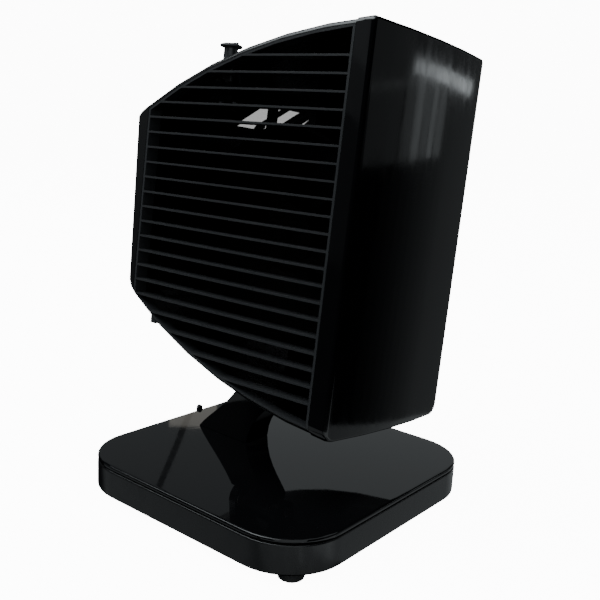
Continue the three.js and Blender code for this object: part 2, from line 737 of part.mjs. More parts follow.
function topShell() {
  const strip = slice(middleWall, [-BEYOND, -BEYOND, SHELL_SPLIT], [BEYOND, BEYOND, BEYOND]);
  const collar = bar('z', SWITCH_TOP + GAP, KNOB_TOP, [KNOB_S, KNOB_D], BOSS_RADIUS, 16);
  const collarLimit = box(
    [KNOB_S - BOSS_RADIUS - 1, switchNear(), SWITCH_TOP],
    [KNOB_S + BOSS_RADIUS + 1, KNOB_D + BOSS_RADIUS + 1, KNOB_TOP],
  );
  const stemHole = bar(
    'z', SWITCH_TOP - 1, KNOB_TOP, [KNOB_S, KNOB_D], KNOB_STEM_RADIUS + KNOB_CLEARANCE, 16,
  );
  const boss = collar.intersect(collarLimit).intersect(headForm(INNER_SKIN - 0.5));
  const lips = lip(WINDOW_FRONT, 1, 1).add(lip(WINDOW_REAR, -1, 1));
  const pilots = switchScrewPlaces().map((place) => bar(
    'z', SWITCH_TOP - 1, SWITCH_TOP + 7, place, SWITCH_SCREW_RADIUS + GAP, 10,
  ));
  return strip.add(boss).add(lips).subtract(join([stemHole, rearVents(), ...pilots]));
}

function lug(from) {
  const to = from + LUG_THICKNESS;
  const disc = bar('x', from, to, HINGE_ACROSS, LUG_RADIUS, 24);
  const web = box([from, -LUG_RADIUS, -HINGE_DROP], [to, LUG_RADIUS, bottomAt(from, INNER_SKIN)]);
  return disc.add(web);
}

function latchBox(side, grow) {
  const face = halfWidthAt(LATCH_AT) - SHELL_STEP;
  const ends = [side * (face - LATCH_NEAR), side * (face - LATCH_FAR)];
  const near = Math.min(...ends) - grow;
  const far = Math.max(...ends) + grow;
  const level = bottomAt(LATCH_AT, SHELL_STEP);
  return box(
    [LATCH_AT - LATCH_LENGTH / 2 - grow, near, level - LATCH_REACH - grow],
    [LATCH_AT + LATCH_LENGTH / 2 + grow, far, level + RIM + GRILLE_FRAME],
  );
}

function bottomShell() {
  const strip = slice(middleWall, [-BEYOND, -BEYOND, -BEYOND], [BEYOND, BEYOND, SHELL_SPLIT]);
  const lugs = lug(REAR_LUG_FROM).add(lug(FRONT_LUG_FROM)).subtract(headForm(SHELL_STEP + 1.4));
  const bore = bar(
    'x', REAR_LUG_FROM - 1, FRONT_LUG_FROM + LUG_THICKNESS + 1, HINGE_ACROSS,
    HINGE_BOLT_RADIUS + GAP, 12,
  );
  const lips = lip(WINDOW_FRONT, 1, -1).add(lip(WINDOW_REAR, -1, -1));
  const notches = latchBox(1, GAP).add(latchBox(-1, GAP));
  return strip.add(lugs).add(lips).subtract(bore).subtract(notches);
}

// ---------------------------------------------------------------- grilles

function slatHeights() {
  const heights = [];
  const highest = TOP_AT_FRONT - RIM - GRILLE_FRAME - SLAT_PITCH;
  for (let u = SLAT_DATUM; u < highest; u += SLAT_PITCH) heights.push(u);
  return heights;
}

// side panel: a frame that follows the arched outline, and level slats clipped by it
function grille(side) {
  const margin = SHELL_STEP + RIM + GAP;
  const rear = WINDOW_REAR + GAP;
  const front = WINDOW_FRONT - GAP;
  const outline = sideWindow(rear, front, margin);
  const opening = sideWindow(
    rear + GRILLE_END_FRAME, front - GRILLE_END_FRAME, margin + GRILLE_FRAME,
  );
  const sideBox = side > 0
    ? box([-BEYOND, 0, -BEYOND], [BEYOND, BEYOND, BEYOND])
    : box([-BEYOND, -BEYOND, -BEYOND], [BEYOND, 0, BEYOND]);
  const panel = shellForm.intersect(outline).intersect(sideBox).subtract(planCore(SHELL_STEP + SLAT_DEPTH));
  const slats = join(slatHeights().map((u) => box(
    [rear - 1, -BEYOND, u - SLAT_THICKNESS / 2], [front + 1, BEYOND, u + SLAT_THICKNESS / 2],
  )));
  const latch = latchBox(side, 0).intersect(
    box([-BEYOND, -BEYOND, -BEYOND], [BEYOND, BEYOND, bottomAt(LATCH_AT, margin + 1)]),
  );
  return panel.subtract(opening).add(panel.intersect(slats)).add(latch);
}

// ---------------------------------------------------------------- fan and motor

// a solid of revolution about the fan axis; the profile is [radius, place along D] pairs
function turnedOnAxis(profile, sides = 24) {
  const geometry = new THREE.LatheGeometry(profile.map((p) => new THREE.Vector2(...p)), sides);
  geometry.translate(FAN_S, 0, FAN_U);
  return solid(geometry);
}

function tube(inner, outer, from, to, sides = 24) {
  return turnedOnAxis(
    [[inner, from], [outer, from], [outer, to], [inner, to], [inner, from]], sides,
  );
}

function onCircle(radius, degrees) {
  const turn = radians(degrees);
  return [FAN_S + radius * Math.cos(turn), FAN_U + radius * Math.sin(turn)];
}

const BRACKET_TURNS = [45, 135, 225, 315];

// duct round the blades, on flat arms that reach the top and bottom shells, with a baffle beside the smooth end
function ductRing() {
  const ring = tube(DUCT_RADIUS, DUCT_RADIUS + DUCT_WALL, DUCT_NEAR, DUCT_FAR, 32);
  const bosses = BRACKET_TURNS.map((turn) => bar(
    'y', DUCT_FAR - BRACKET_SCREW_GRIP - 4, DUCT_FAR, onCircle(BRACKET_SCREW_AT, turn),
    BRACKET_BOSS_RADIUS, 8,
  ));
  const arms = DUCT_ARM_AT.map((s) => box(
    [s - DUCT_ARM_THICKNESS / 2, DUCT_ARM_NEAR, -BEYOND],
    [s + DUCT_ARM_THICKNESS / 2, DUCT_ARM_FAR, BEYOND],
  ));
  const baffle = box(
    [BAFFLE_REAR, DUCT_ARM_NEAR, -BEYOND], [BAFFLE_FRONT, DUCT_ARM_NEAR + BAFFLE_THICKNESS, BEYOND],
  );
  const throat = bar('y', DUCT_NEAR - 1, DUCT_FAR + 1, [FAN_S, FAN_U], DUCT_RADIUS + 1, 32);
  const bore = bar('y', DUCT_NEAR - 1, DUCT_FAR + 1, [FAN_S, FAN_U], DUCT_RADIUS, 32);
  const pilots = BRACKET_TURNS.map((turn) => bar(
    'y', DUCT_FAR - BRACKET_SCREW_GRIP, DUCT_FAR + 1, onCircle(BRACKET_SCREW_AT, turn),
    BRACKET_SCREW_RADIUS + GAP, 8,
  ));
  const reach = join([baffle, ...arms]).intersect(seatForm).subtract(throat);
  return ring.add(reach).add(join(bosses).subtract(bore)).subtract(join(pilots));
}

// four arms from the duct to a round plate that the motor is bolted to
function motorBracket() {
  const plate = tube(SHAFT_RADIUS + 3, MOTOR_RADIUS + 3, BRACKET_NEAR, PLATE_FAR, 16);
  const collar = tube(MOTOR_RADIUS + GAP, MOTOR_RADIUS + 3, BRACKET_NEAR, PLATE_FAR + 6, 16);
  const arms = BRACKET_TURNS.map((turn) => {
    const geometry = new THREE.BoxGeometry(
      BRACKET_SCREW_AT - MOTOR_RADIUS, BRACKET_ARM_DEPTH, BRACKET_ARM_WIDTH,
    );
    geometry.translate(
      (BRACKET_SCREW_AT + MOTOR_RADIUS) / 2 + 1, BRACKET_NEAR + BRACKET_ARM_DEPTH / 2, 0,
    );
    geometry.rotateY(-radians(turn));
    geometry.translate(FAN_S, 0, FAN_U);
    return solid(geometry);
  });
  const pads = BRACKET_TURNS.map((turn) => bar(
    'y', BRACKET_NEAR, BRACKET_NEAR + BRACKET_ARM_DEPTH, onCircle(BRACKET_SCREW_AT, turn),
    BRACKET_ARM_WIDTH / 2, 8,
  ));
  const holes = BRACKET_TURNS.map((turn) => bar(
    'y', BRACKET_NEAR - 1, BRACKET_NEAR + BRACKET_ARM_DEPTH + 1, onCircle(BRACKET_SCREW_AT, turn),
    BRACKET_SCREW_RADIUS + GAP, 8,
  ));
  return join([plate, collar, ...arms, ...pads]).subtract(join(holes));
}

function bracketScrew(turn) {
  const seat = BRACKET_NEAR + BRACKET_ARM_DEPTH + GAP;
  const across = onCircle(BRACKET_SCREW_AT, turn);
  const head = bar('y', seat, seat + 2, across, 2 * BRACKET_SCREW_RADIUS, 12);
  return head.add(bar(
    'y', DUCT_FAR - BRACKET_SCREW_GRIP + GAP, seat + 1, across, BRACKET_SCREW_RADIUS, 10,
  ));
}

// half of the motor can, with a pocket for the bearing in the middle of its end
function motorCan(end, seam, bearingFrom) {
  const out = Math.sign(end - seam);
  const pocket = BEARING_RADIUS + GAP;
  const rim = pocket + MOTOR_WALL;
  const inside = end - out * MOTOR_WALL;
  const depth = bearingFrom;
  return turnedOnAxis([
    [SHAFT_RADIUS + 1, end], [MOTOR_RADIUS - 2, end], [MOTOR_RADIUS, end - out * 2],
    [MOTOR_RADIUS, seam], [MOTOR_RADIUS - MOTOR_WALL, seam], [MOTOR_RADIUS - MOTOR_WALL, inside],
    [rim, inside], [rim, depth], [pocket, depth], [pocket, inside], [SHAFT_RADIUS + 1, inside],
    [SHAFT_RADIUS + 1, end],
  ], 16);
}

function motorFrontHousing() {
  return motorCan(MOTOR_NEAR, MOTOR_SEAM, FRONT_POCKET_END);
}

function motorRearHousing() {
  return motorCan(MOTOR_FAR, MOTOR_SEAM + GAP, BEARING_FAR_AT);
}

function bearing(from) {
  return tube(SHAFT_RADIUS + RUNNING, BEARING_RADIUS, from, from + BEARING_LENGTH - GAP, 16);
}

// laminated ring with teeth inside
function statorCore() {
  const from = STATOR_MIDDLE - STATOR_LENGTH / 2;
  const to = STATOR_MIDDLE + STATOR_LENGTH / 2;
  const ring = tube(STATOR_BORE, STATOR_RADIUS, from, to, 16);
  const slots = [];
  for (let i = 0; i < STATOR_TEETH; i += 1) {
    const turn = (360 / STATOR_TEETH) * (i + 0.5);
    slots.push(bar('y', from - 1, to + 1, onCircle(STATOR_BORE + 5, turn), 3.6, 6));
  }
  return ring.subtract(join(slots));
}

// the rotor turns between the two bearing pockets
function rotorCore() {
  const from = FRONT_POCKET_END + ROTOR_END_GAP;
  const to = BEARING_FAR_AT - ROTOR_END_GAP;
  return tube(SHAFT_RADIUS + GAP, STATOR_BORE - ROTOR_CLEARANCE, from, to, 20);
}

function motorShaft() {
  const neckEnd = HUB_NEAR - HUB_NUT_HEIGHT - 1;
  return turnedOnAxis([
    [0, neckEnd], [SHAFT_RADIUS - 1, neckEnd], [SHAFT_RADIUS - 1, SHAFT_NEAR],
    [SHAFT_RADIUS, SHAFT_NEAR], [SHAFT_RADIUS, MOTOR_FAR - MOTOR_WALL], [0, MOTOR_FAR - MOTOR_WALL],
  ], 16);
}

// one twisted and swept blade, thin across its flow surface
function blade(start) {
  const [radial, chord] = [5, 4];
  const root = HUB_RADIUS - 1.2;
  const points = [];
  for (const face of [-1, 1]) {
    for (let i = 0; i <= radial; i += 1) {
      const out = i / radial;
      const radius = lerp(root, TIP_RADIUS, out);
      for (let j = 0; j <= chord; j += 1) {
        const along = j / chord;
        const taper = Math.sin(Math.PI * (0.12 + 0.76 * along));
        const lead = BLADE_SWEEP * out * (0.5 + 0.5 * along) + BLADE_SPAN * (along - 0.5);
        const turn = radians(start + lead * (1 - 0.18 * out));
        const rise = lerp(BLADE_RISE_ROOT, BLADE_RISE_TIP, out);
        const camber = 3.2 * Math.sin(Math.PI * along);
        const y = BLADE_AXIAL + rise * (along - 0.5) - camber + (face * BLADE_THICKNESS * taper) / 2;
        points.push(FAN_S + radius * Math.cos(turn), y, FAN_U + radius * Math.sin(turn));
      }
    }
  }
  const row = chord + 1;
  const sheet = row * (radial + 1);
  const index = [];
  const quad = (a, b, c, d) => index.push(a, b, c, a, c, d);
  for (let i = 0; i < radial; i += 1) {
    for (let j = 0; j < chord; j += 1) {
      const k = i * row + j;
      quad(k, k + 1, k + row + 1, k + row);
      quad(sheet + k, sheet + k + row, sheet + k + row + 1, sheet + k + 1);
    }
    quad(i * row + row, sheet + i * row + row, sheet + i * row, i * row);
    const e = i * row + chord;
    quad(e, sheet + e, sheet + e + row, e + row);
  }
  for (let j = 0; j < chord; j += 1) {
    quad(j, sheet + j, sheet + j + 1, j + 1);
    const t = radial * row + j;
    quad(t + 1, sheet + t + 1, sheet + t, t);
  }
  const geometry = new THREE.BufferGeometry();
  geometry.setAttribute('position', new THREE.Float32BufferAttribute(points, 3));
  geometry.setIndex(index);
  return solid(geometry);
}

function impeller() {
  const collar = SHAFT_RADIUS + 5;
  const hub = turnedOnAxis([
    [SHAFT_RADIUS + GAP, HUB_FAR], [SHAFT_RADIUS + GAP, HUB_NEAR], [HUB_RADIUS - 5, HUB_NEAR],
    [HUB_RADIUS - 1.5, HUB_NEAR + 1.5], [HUB_RADIUS, HUB_NEAR + 5], [HUB_RADIUS, HUB_FAR],
    [HUB_RADIUS - HUB_WALL, HUB_FAR], [HUB_RADIUS - HUB_WALL, HUB_NEAR + 4],
    [collar, HUB_NEAR + 4], [collar, HUB_FAR], [SHAFT_RADIUS + GAP, HUB_FAR],
  ], 16);
  const blades = [];
  for (let i = 0; i < BLADE_COUNT; i += 1) blades.push(blade((360 / BLADE_COUNT) * i));
  return join([hub, ...blades]);
}

function hubNut() {
  const from = HUB_NEAR - GAP - HUB_NUT_HEIGHT;
  const nut = bar('y', from, HUB_NEAR - GAP, [FAN_S, FAN_U], HUB_NUT_RADIUS, 6);
  return nut.subtract(bar(
    'y', from - 1, HUB_NEAR, [FAN_S, FAN_U], SHAFT_RADIUS - 1 + GAP, 20,
  ));
}

// ---------------------------------------------------------------- speed switch and knob

// the side of the switch that faces the grille
function switchNear() {
  return KNOB_D - SWITCH_NEAR_WALL;
}

function switchScrewPlaces() {
  return [-1, 1].map((side) => [KNOB_S + side * SWITCH_SCREW_AT, KNOB_D + SWITCH_SCREW_AT / 3]);
}

function speedSwitch() {
  const body = box(
    [KNOB_S - SWITCH_SIZE_S / 2, switchNear(), SWITCH_TOP - SWITCH_HEIGHT],
    [KNOB_S + SWITCH_SIZE_S / 2, KNOB_D + SWITCH_FAR_WALL, SWITCH_TOP],
  );
  const spindleHole = bar(
    'z', SWITCH_TOP - SWITCH_HEIGHT + 3, SWITCH_TOP + 1, [KNOB_S, KNOB_D], SPINDLE_RADIUS + GAP, 16,
  );
  const holes = switchScrewPlaces().map((place) => bar(
    'z', SWITCH_TOP - SWITCH_HEIGHT - 1, SWITCH_TOP + 1, place, SWITCH_SCREW_RADIUS + GAP, 10,
  ));
  return body.subtract(join([spindleHole, ...holes]));
}

function switchScrew(place) {
  const low = SWITCH_TOP - SWITCH_HEIGHT - GAP;
  return screwUp(place, low, 1.6, 2 * SWITCH_SCREW_RADIUS, SWITCH_TOP + 6, SWITCH_SCREW_RADIUS);
}

function switchSpindle() {
  const low = SWITCH_TOP - SWITCH_HEIGHT + 3 + GAP;
  return bar('z', low, KNOB_TOP - KNOB_CAP_HEIGHT - 4 - GAP, [KNOB_S, KNOB_D], SPINDLE_RADIUS, 16);
}

// mushroom knob with a slightly domed cap and a pointer ridge on it
function speedKnob() {
  const capLow = KNOB_TOP - KNOB_CAP_HEIGHT;
  const stemLow = SWITCH_TOP + 2;
  const bore = SPINDLE_RADIUS + GAP;
  const boreTop = capLow - 4;
  const body = turned([
    [bore, stemLow], [KNOB_STEM_RADIUS, stemLow], [KNOB_STEM_RADIUS, capLow - 1],
    [KNOB_STEM_RADIUS + 1, capLow], [KNOB_CAP_RADIUS - 0.5, capLow], [KNOB_CAP_RADIUS, capLow + 0.6],
    [KNOB_CAP_RADIUS - 0.3, capLow + 1.8], [0.7 * KNOB_CAP_RADIUS, KNOB_TOP - 0.9],
    [0.3 * KNOB_CAP_RADIUS, KNOB_TOP - 0.4], [0, KNOB_TOP - 0.3], [0, boreTop], [bore, boreTop],
    [bore, stemLow],
  ], KNOB_S, KNOB_D, 18);
  const pointer = box(
    [KNOB_S, KNOB_D - 0.8, capLow + 1], [KNOB_S + 0.8 * KNOB_CAP_RADIUS, KNOB_D + 0.8, KNOB_TOP],
  );
  return body.add(pointer);
}

// ---------------------------------------------------------------- assembly

function buildBase() {
  const group = new THREE.Group();
  group.add(piece('base_cover', baseCover(), BLACK_GLOSS));
  group.add(piece('base_body', baseBody(), BLACK_SATIN));
  group.add(piece('ballast_plate', ballastPlate(), ZINC));
  CORNERS.forEach((corner, i) => {
    group.add(piece(`foot_${i + 1}`, foot(corner), RUBBER));
    group.add(piece(`foot_screw_${i + 1}`, footScrew(corner), STEEL));
  });
  group.add(piece('cord_gland', cordGland(), BLACK_PLAIN));
  group.add(piece('neck', neck(), BLACK_GLOSS));
  NECK_SCREW_PLACES.forEach((place, i) => {
    group.add(piece(`neck_screw_${i + 1}`, neckScrew(place), STEEL));
  });
  return group;
}

function addHinge(group) {
  group.add(piece('hinge_bolt', hingeBolt(), STEEL));
  group.add(piece('hinge_nut', hingeNut(), STEEL));
  group.add(piece('friction_washer_rear', frictionWasher(KNUCKLE_REAR - GAP - WASHER_THICKNESS), NYLON));
  group.add(piece('friction_washer_front', frictionWasher(KNUCKLE_FRONT + GAP), NYLON));
}

function addHousing(group) {
  group.add(piece('front_cover', frontCover(), BLACK_GLOSS));
  group.add(piece('rear_cover', rearCover(), BLACK_SATIN));
  group.add(piece('top_shell', topShell(), BLACK_SATIN));
  group.add(piece('bottom_shell', bottomShell(), BLACK_SATIN));
  group.add(piece('grille_left', grille(-1), BLACK_SATIN));
  group.add(piece('grille_right', grille(1), BLACK_SATIN));
}

function addFan(group) {
  group.add(piece('duct_ring', ductRing(), BLACK_PLAIN));
  group.add(piece('motor_bracket', motorBracket(), BLACK_PLAIN));
  BRACKET_TURNS.forEach((turn, i) => {
    group.add(piece(`bracket_screw_${i + 1}`, bracketScrew(turn), STEEL));
  });
  group.add(piece('motor_front_housing', motorFrontHousing(), ZINC));
  group.add(piece('motor_rear_housing', motorRearHousing(), ZINC));
  group.add(piece('stator_core', statorCore(), COPPER_STEEL));
  group.add(piece('bearing_front', bearing(MOTOR_NEAR + MOTOR_WALL + GAP), BRONZE));
  group.add(piece('bearing_rear', bearing(BEARING_FAR_AT), BRONZE));
  group.add(piece('motor_shaft', motorShaft(), STEEL));
  group.add(piece('rotor_core', rotorCore(), ZINC));
  group.add(piece('impeller', impeller(), BLACK_GLOSS));
  group.add(piece('hub_nut', hubNut(), BLACK_PLAIN));
}

function addSwitch(group) {
  group.add(piece('speed_switch', speedSwitch(), BLACK_PLAIN));
  switchScrewPlaces().forEach((place, i) => {
    group.add(piece(`switch_screw_${i + 1}`, switchScrew(place), STEEL));
  });
  group.add(piece('switch_spindle', switchSpindle(), STEEL));
  group.add(piece('speed_knob', speedKnob(), BLACK_GLOSS));
}

function buildHead() {
  const tilting = new THREE.Group();
  tilting.position.set(0, HINGE_Y, HINGE_Z);
  tilting.rotation.x = -radians(HEAD_TILT);
  const head = new THREE.Group();
  head.position.z = HINGE_DROP;
  addHinge(head);
  addHousing(head);
  addFan(head);
  addSwitch(head);
  tilting.add(head);
  return tilting;
}

const circulator = new THREE.Group();
circulator.add(buildBase());
circulator.add(buildHead());

export default circulator;
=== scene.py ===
import json
import math

import bpy
from mathutils import Matrix, Quaternion, Vector


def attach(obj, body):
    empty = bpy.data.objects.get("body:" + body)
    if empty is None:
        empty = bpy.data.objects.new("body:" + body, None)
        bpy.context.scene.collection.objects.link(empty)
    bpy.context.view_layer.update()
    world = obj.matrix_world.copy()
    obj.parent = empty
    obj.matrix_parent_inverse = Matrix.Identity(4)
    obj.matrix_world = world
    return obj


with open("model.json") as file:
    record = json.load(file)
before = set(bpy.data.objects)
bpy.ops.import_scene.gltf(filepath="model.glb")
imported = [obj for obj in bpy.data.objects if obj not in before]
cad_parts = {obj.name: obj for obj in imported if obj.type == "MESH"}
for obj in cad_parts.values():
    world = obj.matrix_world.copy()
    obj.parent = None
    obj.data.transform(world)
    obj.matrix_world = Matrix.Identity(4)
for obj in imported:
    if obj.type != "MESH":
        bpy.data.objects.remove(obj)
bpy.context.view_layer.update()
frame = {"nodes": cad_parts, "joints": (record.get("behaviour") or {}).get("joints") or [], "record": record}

MM = 0.001
NODES = frame["nodes"]


def add_to_scene(name, data):
    """A new object in the scene that holds a mesh, a light or a camera."""
    obj = bpy.data.objects.new(name, data)
    bpy.context.scene.collection.objects.link(obj)
    return obj


def mesh_object(name, points, faces):
    """A new mesh object in the scene, of points and the numbers of each face's points."""
    mesh = bpy.data.meshes.new(name)
    mesh.from_pydata(points, [], faces)
    return add_to_scene(name, mesh)


# ---------------------------------------------------------------- camera

# fitted to the base's square, the slats and the head's upright edges in the photo
CAMERA_PLACE = (0.4339, -0.5182, 0.3181)
CAMERA_RIGHT = (0.76865, 0.63750, 0.05261)
CAMERA_DOWN = (0.17474, -0.13014, -0.97598)
CAMERA_AHEAD = (-0.61534, 0.75938, -0.21143)
LENS_MM = 49.2
SENSOR_MM = 36
NEAREST_SEEN = 0.02
FARTHEST_SEEN = 60


def make_camera():
    """The photo's camera; its own axes point right, up and back."""
    data = bpy.data.cameras.new("camera")
    data.lens = LENS_MM
    data.sensor_width = SENSOR_MM
    data.clip_start = NEAREST_SEEN
    data.clip_end = FARTHEST_SEEN
    camera = add_to_scene("camera", data)
    columns = (Vector(CAMERA_RIGHT), -Vector(CAMERA_DOWN), -Vector(CAMERA_AHEAD))
    turn = Matrix(columns).transposed().to_4x4()
    camera.matrix_world = Matrix.Translation(CAMERA_PLACE) @ turn
    bpy.context.scene.camera = camera


make_camera()

# ---------------------------------------------------------------- shader parts


def new_material(name, colour, roughness, metallic=0.0):
    """A material with one Principled shader; returns it, its nodes, its links and the shader."""
    material = bpy.data.materials.new(name)
    material.use_nodes = True
    tree = material.node_tree
    shader = tree.nodes["Principled BSDF"]
    shader.inputs["Base Color"].default_value = (*colour, 1)
    shader.inputs["Roughness"].default_value = roughness
    shader.inputs["Metallic"].default_value = metallic
    return material, tree.nodes, tree.links, shader


def noise(nodes, links, scale, detail, stretch=(1, 1, 1)):
    """Noise on object coordinates, in features per metre; returns its factor socket."""
    place = nodes.new("ShaderNodeTexCoord")
    mapping = nodes.new("ShaderNodeMapping")
    mapping.inputs["Scale"].default_value = stretch
    texture = nodes.new("ShaderNodeTexNoise")
    texture.inputs["Scale"].default_value = scale
    texture.inputs["Detail"].default_value = detail
    links.new(place.outputs["Object"], mapping.inputs["Vector"])
    links.new(mapping.outputs["Vector"], texture.inputs["Vector"])
    return texture.outputs["Fac"]


def spread(nodes, links, source, low, high, start=0.3, end=0.7):
    """Maps a source that runs from start to end to the range low to high; returns the result socket."""
    ranged = nodes.new("ShaderNodeMapRange")
    ranged.inputs["From Min"].default_value = start
    ranged.inputs["From Max"].default_value = end
    ranged.inputs["To Min"].default_value = low
    ranged.inputs["To Max"].default_value = high
    links.new(source, ranged.inputs["Value"])
    return ranged.outputs["Result"]


def bump(nodes, links, shader, height, depth):
    """Raises the surface by a factor, by the depth in metres where the factor is 1."""
    node = nodes.new("ShaderNodeBump")
    node.inputs["Distance"].default_value = depth
    node.inputs["Strength"].default_value = 1.0
    links.new(height, node.inputs["Height"])
    links.new(node.outputs["Normal"], shader.inputs["Normal"])


def tint(nodes, links, shader, source, dark, light):
    """Varies the base colour between two colours with a factor."""
    mix = nodes.new("ShaderNodeMix")
    mix.data_type = "RGBA"
    mix.inputs[6].default_value = (*dark, 1)
    mix.inputs[7].default_value = (*light, 1)
    links.new(source, mix.inputs[0])
    links.new(mix.outputs[2], shader.inputs["Base Color"])


# ---------------------------------------------------------------- materials

CLOUD_SCALE = 14
WIPE_SCALE = 60
WIPE_STRETCH = (1.0, 2.2, 0.6)


def moulded_plastic(name, dark, light, smooth, rough, grain_detail, grain_depth, grain_scale):
    """Moulded plastic: slow colour and sheen variation, wipe marks and a fine surface grain."""
    material, nodes, links, shader = new_material(name, dark, smooth)
    cloud = noise(nodes, links, CLOUD_SCALE, detail=4)
    tint(nodes, links, shader, cloud, dark, light)
    wipe = noise(nodes, links, WIPE_SCALE, detail=5, stretch=WIPE_STRETCH)
    links.new(spread(nodes, links, wipe, smooth, rough), shader.inputs["Roughness"])
    grain = noise(nodes, links, grain_scale, grain_detail)
    bump(nodes, links, shader, grain, grain_depth)
    return material


def metal(name, dark, light, roughness, stretch, scale):
    """Metal with streaks that change its colour, its sheen and its surface together."""
    material, nodes, links, shader = new_material(name, dark, roughness, metallic=1.0)
    streak = noise(nodes, links, scale, detail=4, stretch=stretch)
    tint(nodes, links, shader, streak, dark, light)
    sheen = spread(nodes, links, streak, roughness * 0.8, roughness * 1.3)
    links.new(sheen, shader.inputs["Roughness"])
    bump(nodes, links, shader, streak, depth=0.03 * MM)
    return material


def black_rubber(name):
    """Dull rubber with fine specks."""
    material, nodes, links, shader = new_material(name, (0.012, 0.012, 0.012), 0.7)
    speck = noise(nodes, links, scale=1400, detail=3)
    tint(nodes, links, shader, speck, dark=(0.01, 0.01, 0.01), light=(0.022, 0.022, 0.022))
    links.new(spread(nodes, links, speck, low=0.6, high=0.85), shader.inputs["Roughness"])
    bump(nodes, links, shader, speck, depth=0.08 * MM)
    return material


# levels in the shared frame, with the head at rest
CLOTH_DARK_UP_TO = 0.27
# from this level up the cloth is pale: painted light, not its own colour
CLOTH_PAINTED_LIGHT_FROM = 0.34


def screen_cloth_painted_light(name):
    """Dull cloth that is dark up to one level in the head, and pale from a higher one; the pale top is
    painted light.
    """
    material, nodes, links, shader = new_material(name, (0.002, 0.002, 0.0022), 0.65)
    place = nodes.new("ShaderNodeTexCoord")
    parts = nodes.new("ShaderNodeSeparateXYZ")
    links.new(place.outputs["Object"], parts.inputs["Vector"])
    fade = spread(nodes, links, parts.outputs["Z"], 0, 1, CLOTH_DARK_UP_TO, CLOTH_PAINTED_LIGHT_FROM)
    # painted light: a pale bluish top that stands in for the dim glow between the upper slats
    tint(nodes, links, shader, fade, dark=(0.0016, 0.0016, 0.0018), light=(0.05, 0.056, 0.064))
    return material


# painted shade: how opaque the dark sheet in the head is
FILM_OPACITY = 0.81


def painted_shade_film(name):
    """Painted shade: a nearly black film that lets a little daylight through."""
    material, _, _, shader = new_material(name, (0.003, 0.003, 0.0033), 0.4)
    shader.inputs["Alpha"].default_value = FILM_OPACITY
    return material


def subdued(material, level):
    """Lowers a material's mirror share, for pieces deep in the head."""
    material.node_tree.nodes["Principled BSDF"].inputs["Specular IOR Level"].default_value = level


DEEP_BLACK = ((0.0022, 0.0022, 0.0026), (0.0034, 0.0034, 0.004))

# dark and light colour; least and most roughness; the grain's detail, depth and scale
PLASTICS = {
    "black_gloss": (*DEEP_BLACK, 0.05, 0.11, 2, 0.006 * MM, 240),
    "cover_gloss": (*DEEP_BLACK, 0.02, 0.045, 2, 0.003 * MM, 240),
    "black_satin": ((0.003, 0.003, 0.0034), (0.0046, 0.0046, 0.0052), 0.22, 0.34, 3, 0.02 * MM, 1500),
    "black_plain": ((0.004, 0.004, 0.0044), (0.007, 0.007, 0.0076), 0.42, 0.55, 3, 0.03 * MM, 1800),
    # painted shade: a darker, duller copy of black_plain for pieces deep in the head
    "black_painted_shade": ((0.0015, 0.0015, 0.0017), (0.0025, 0.0025, 0.0028), 0.5, 0.65, 3, 0.03 * MM, 1800),
    # painted light: a lighter copy of black_satin that brightens the slats' edge highlights
    "satin_painted_light": ((0.024, 0.025, 0.027), (0.03, 0.031, 0.033), 0.26, 0.36, 3, 0.02 * MM, 1500),
    "nylon": ((0.6, 0.58, 0.5), (0.72, 0.7, 0.62), 0.4, 0.5, 3, 0.02 * MM, 900),
}

# dark and light colour, roughness, and how the streaks are squeezed along x, y and z, with their scale
METALS = {
    "steel": ((0.2, 0.2, 0.21), (0.32, 0.32, 0.33), 0.36, (1, 1, 1), 260),
    "zinc": ((0.3, 0.3, 0.32), (0.45, 0.46, 0.48), 0.42, (1, 3, 1), 120),
    "lamination": ((0.16, 0.1, 0.07), (0.3, 0.2, 0.14), 0.5, (1, 40, 1), 60),
    "bronze": ((0.34, 0.22, 0.12), (0.5, 0.35, 0.2), 0.45, (1, 1, 1), 260),
}

MATERIALS = {
    **{name: moulded_plastic(name, *look) for name, look in PLASTICS.items()},
    **{name: metal(name, *look) for name, look in METALS.items()},
    "rubber": black_rubber("rubber"),
    "screen_cloth_painted_light": screen_cloth_painted_light("screen_cloth_painted_light"),
    "painted_shade_film": painted_shade_film("painted_shade_film"),
}

subdued(MATERIALS["black_painted_shade"], level=0.12)
subdued(MATERIALS["screen_cloth_painted_light"], level=0.1)

# ---------------------------------------------------------------- shading and edges

SMOOTH_BELOW = math.radians(33)
ROUND_ABOVE = math.radians(38)
WELD_DISTANCE = 0.002 * MM


def shade_by_angle():
    """A node group that shades faces smooth and keeps an edge sharp where it turns by more than the limit."""
    group = bpy.data.node_groups.new("shade_by_angle", "GeometryNodeTree")
    group.interface.new_socket("Geometry", in_out="INPUT", socket_type="NodeSocketGeometry")
    group.interface.new_socket("Geometry", in_out="OUTPUT", socket_type="NodeSocketGeometry")
    source = group.nodes.new("NodeGroupInput")
    result = group.nodes.new("NodeGroupOutput")
    turn = group.nodes.new("GeometryNodeInputMeshEdgeAngle")
    sharp = group.nodes.new("FunctionNodeCompare")
    sharp.data_type = "FLOAT"
    sharp.operation = "GREATER_THAN"
    sharp.inputs[1].default_value = SMOOTH_BELOW
    faces = group.nodes.new("GeometryNodeSetShadeSmooth")
    edges = group.nodes.new("GeometryNodeSetShadeSmooth")
    edges.domain = "EDGE"
    edges.inputs["Shade Smooth"].default_value = False
    group.links.new(source.outputs[0], faces.inputs["Geometry"])
    group.links.new(faces.outputs[0], edges.inputs["Geometry"])
    group.links.new(turn.outputs["Unsigned Angle"], sharp.inputs[0])
    group.links.new(sharp.outputs[0], edges.inputs["Selection"])
    group.links.new(edges.outputs[0], result.inputs[0])
    return group


SHADING = shade_by_angle()


